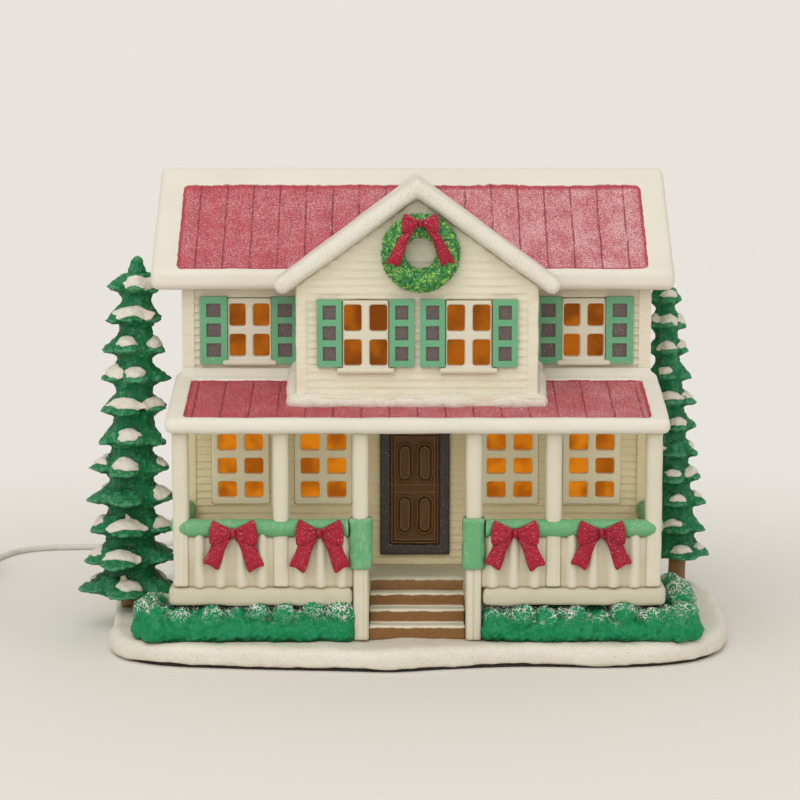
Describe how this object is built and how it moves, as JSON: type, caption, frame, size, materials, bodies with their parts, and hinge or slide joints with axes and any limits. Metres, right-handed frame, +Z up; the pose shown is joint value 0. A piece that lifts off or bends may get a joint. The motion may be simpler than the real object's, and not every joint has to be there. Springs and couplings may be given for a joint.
{
  "type": "lit ceramic village house",
  "caption": "Lit ceramic holiday village house with snowy red roofs, a railed porch, trees and hedges on a snow base, and a clip-in lamp on a switched cord.",
  "frame": {"origin": "under the middle of the house's box, without its cord, on the table", "axes": "+Z up, -Y towards the porch side, +X to the right of a viewer in front of the porch"},
  "size_m": [0.3935, 0.2721, 0.2014],
  "materials": {
    "snow_glaze": "satin",
    "wall_glaze": "satin",
    "roof_glaze": "satin, frosted",
    "green_paint": "satin",
    "shutter_paint": "satin",
    "red_paint": "satin",
    "brown_paint": "satin",
    "trunk_paint": "satin",
    "amber_sheet": "translucent amber",
    "felt": "matt",
    "lamp_plastic": "satin",
    "clip_steel": "bright",
    "bulb_clear": "clear",
    "bulb_brass": "bright",
    "filament_wire": "satin",
    "cord_vinyl": "satin",
    "tie_plastic": "satin",
    "switch_plastic": "satin"
  },
  "bodies": {
    "house": {"bay_glazing": "amber_sheet", "bay_shutters": "shutter_paint", "bay_window_frames": "wall_glaze", "door_frame": "brown_paint", "felt_pad": "felt", "front_door": "brown_paint", "front_steps": "brown_paint", "gable_bay": "wall_glaze", "gable_roof": "roof_glaze", "garland_left": "green_paint", "garland_post_left": "green_paint", "garland_post_right": "green_paint", "garland_right": "green_paint", "hedge_left": "green_paint", "hedge_right": "green_paint", "house_walls": "wall_glaze", "lower_glazing": "amber_sheet", "lower_window_frames": "wall_glaze", "main_roof": "roof_glaze", "porch_deck": "wall_glaze", "porch_posts": "wall_glaze", "porch_roof": "roof_glaze", "rail_bow_1": "red_paint", "rail_bow_2": "red_paint", "rail_bow_3": "red_paint", "rail_bow_4": "red_paint", "railing_left": "wall_glaze", "railing_right": "wall_glaze", "side_glazing": "amber_sheet", "side_shutters": "shutter_paint", "side_window_frames": "wall_glaze", "snow_base": "snow_glaze", "step_posts": "wall_glaze", "tree_left": "green_paint", "tree_left_trunk": "trunk_paint", "tree_right": "green_paint", "tree_right_trunk": "trunk_paint", "upper_glazing": "amber_sheet", "upper_shutters": "shutter_paint", "upper_window_frames": "wall_glaze", "wreath": "green_paint", "wreath_bow": "red_paint"},
    "light_kit": {"lamp_socket": "lamp_plastic", "socket_clip": "clip_steel", "socket_cap": "lamp_plastic", "strain_relief": "lamp_plastic", "cord_lead": "cord_vinyl", "cord_run": "cord_vinyl", "cord_coil": "cord_vinyl", "cord_tail": "cord_vinyl", "cord_tie": "tie_plastic", "switch_top": "switch_plastic", "switch_bottom": "switch_plastic", "plug_body": "switch_plastic", "plug_blades": "bulb_brass"},
    "bulb": {"bulb_glass": "bulb_clear", "bulb_base": "bulb_brass", "bulb_filament": "filament_wire"},
    "switch_wheel": {"switch_wheel": "switch_plastic"}
  },
  "joints": [
    {"name": "light_kit_pull", "type": "slide", "parent": "house", "child": "light_kit", "axis": [0, 1, 0], "range_m": [0, 0.075]},
    {"name": "bulb_unscrew", "type": "hinge", "parent": "light_kit", "child": "bulb", "pos_m": [0.0055, 0.0507, 0.038], "axis": [0, -1, 0], "range_deg": [0, 900]},
    {"name": "switch_wheel_turn", "type": "hinge", "parent": "light_kit", "child": "switch_wheel", "pos_m": [-0.0705, 0.1768, 0.0065], "axis": [0, 0, 1], "continuous": true}
  ]
}
